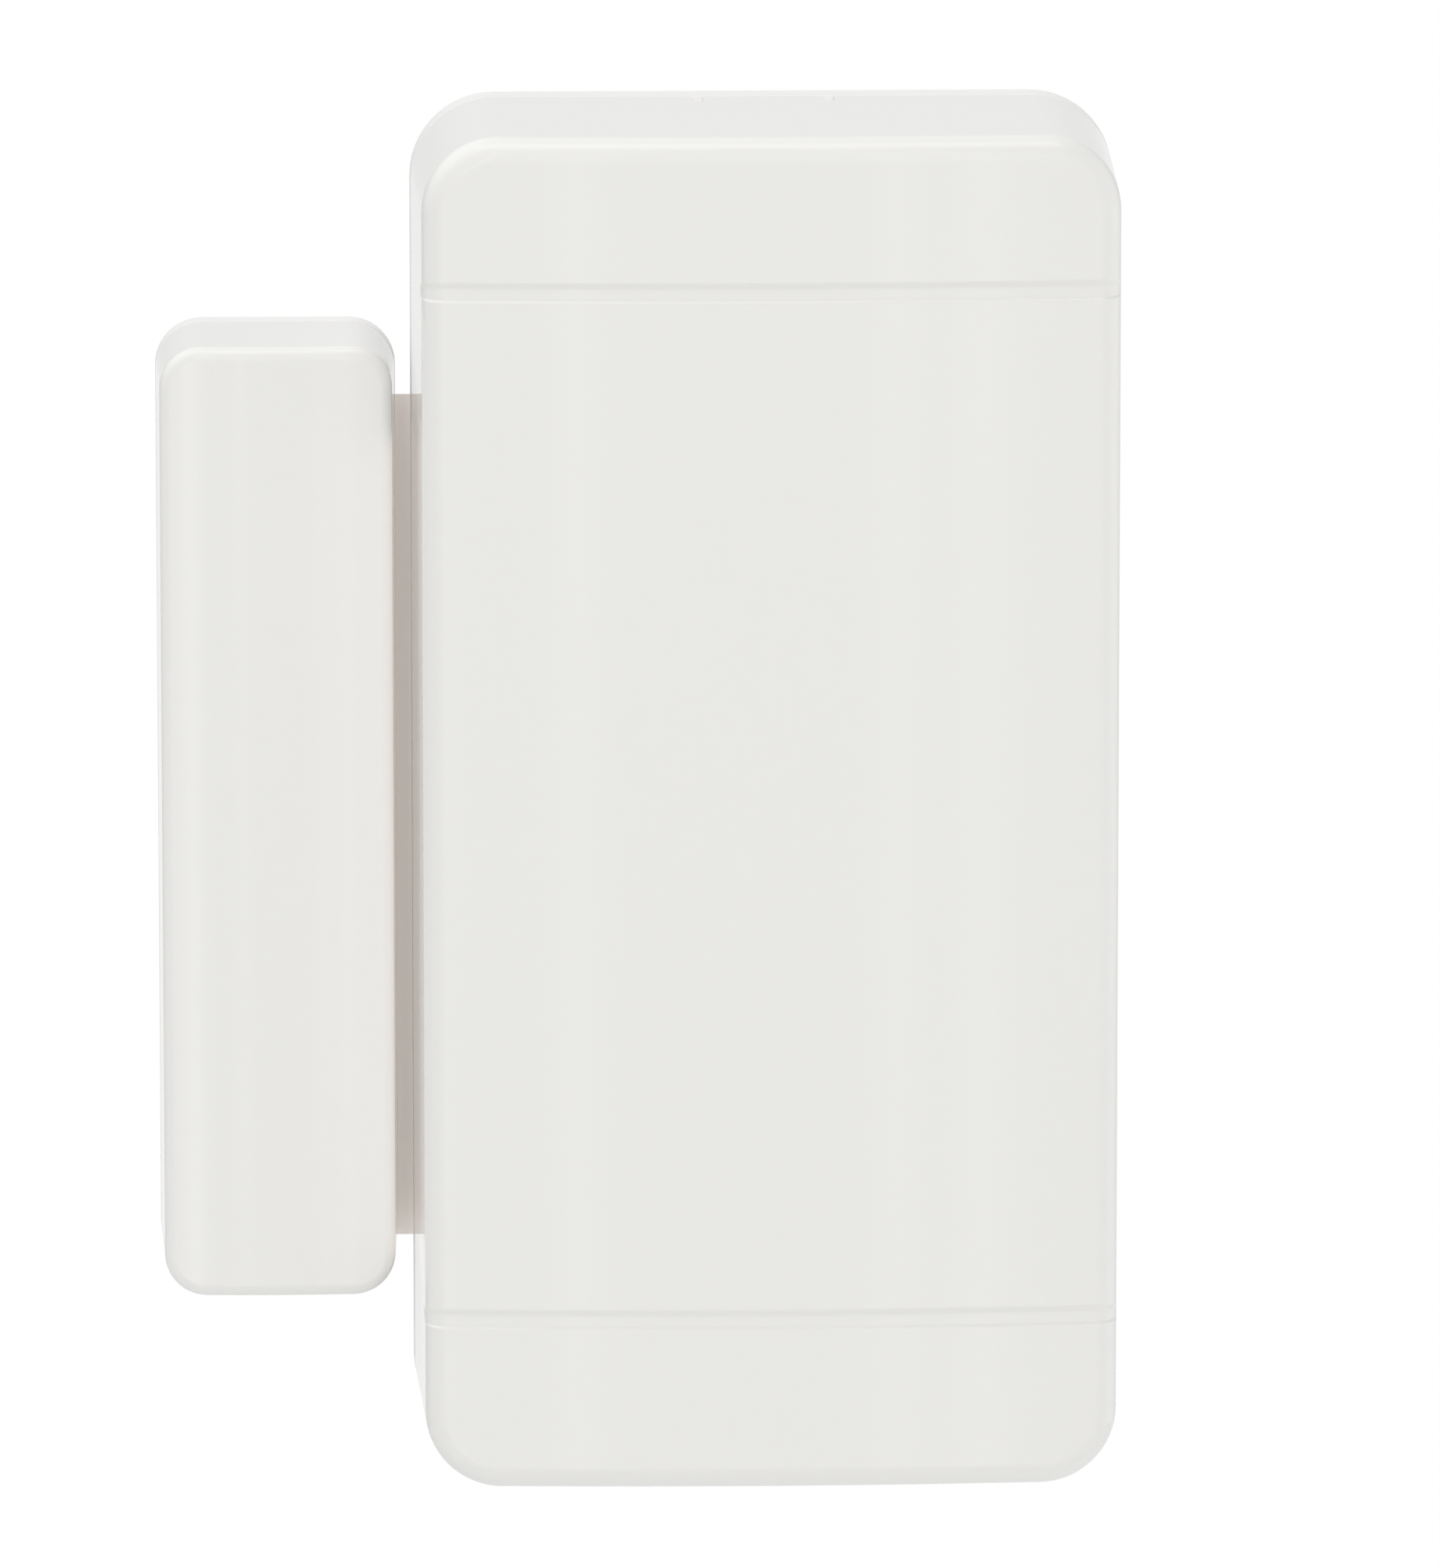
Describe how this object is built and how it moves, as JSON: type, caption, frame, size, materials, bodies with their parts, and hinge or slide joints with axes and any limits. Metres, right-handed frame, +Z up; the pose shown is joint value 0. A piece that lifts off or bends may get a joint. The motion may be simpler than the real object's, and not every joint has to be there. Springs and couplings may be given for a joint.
{
  "type": "door window sensor",
  "caption": "Wireless door and window contact in white plastic: a crowned transmitter case with two grooves across its front, and a slim magnet case beside it",
  "frame": {"origin": "The middle of the transmitter's flat back, in the plane of the wall or door leaf it is fixed to", "axes": "+Y points out of the flat backs into the wall, so the crowned fronts face -Y; +Z is up along both cases; +X is to the right as seen from the room, with the magnet case on the -X side"},
  "size_m": [0.049, 0.017, 0.07],
  "materials": {
    "cover_white": "smooth glossy white moulding",
    "plate_white": "smooth white moulding",
    "board_green": "green lacquered laminate",
    "screw_steel": "bright zinc plated",
    "cell_sleeve": "printed film sleeve, dark blue",
    "spring_steel": "nickel plated strip",
    "contact_nickel": "nickel plated strip",
    "reed_glass": "clear greenish glass",
    "reed_metal": "plated nickel iron",
    "chip_black": "black moulding compound",
    "lead_tin": "tinned",
    "can_metal": "pressed and plated",
    "capacitor_metal": "satin sleeve on a dark foot",
    "led_red": "clear red lens",
    "aerial_metal": "plated strip",
    "resistor_dark": "glazed chip",
    "capacitor_tan": "fired chip",
    "magnet_dark": "sintered magnet, dark grey"
  },
  "bodies": {
    "root": {"front_cover": "cover_white", "back_plate": "plate_white", "circuit_board": "board_green", "board_screws": "screw_steel", "battery_cell": "cell_sleeve", "battery_spring": "spring_steel", "negative_contact": "contact_nickel", "positive_contact": "contact_nickel", "reed_glass": "reed_glass", "reed_blades": "reed_metal", "encoder_chip": "chip_black", "encoder_leads": "lead_tin", "resonator_can": "can_metal", "radio_transistor": "chip_black", "voltage_regulator": "chip_black", "bulk_capacitor": "capacitor_metal", "status_led": "led_red", "antenna_loop": "aerial_metal", "chip_resistors": "resistor_dark", "chip_capacitors": "capacitor_tan", "magnet_cover": "cover_white", "magnet_plate": "plate_white", "bar_magnet": "magnet_dark"}
  },
  "joints": []
}
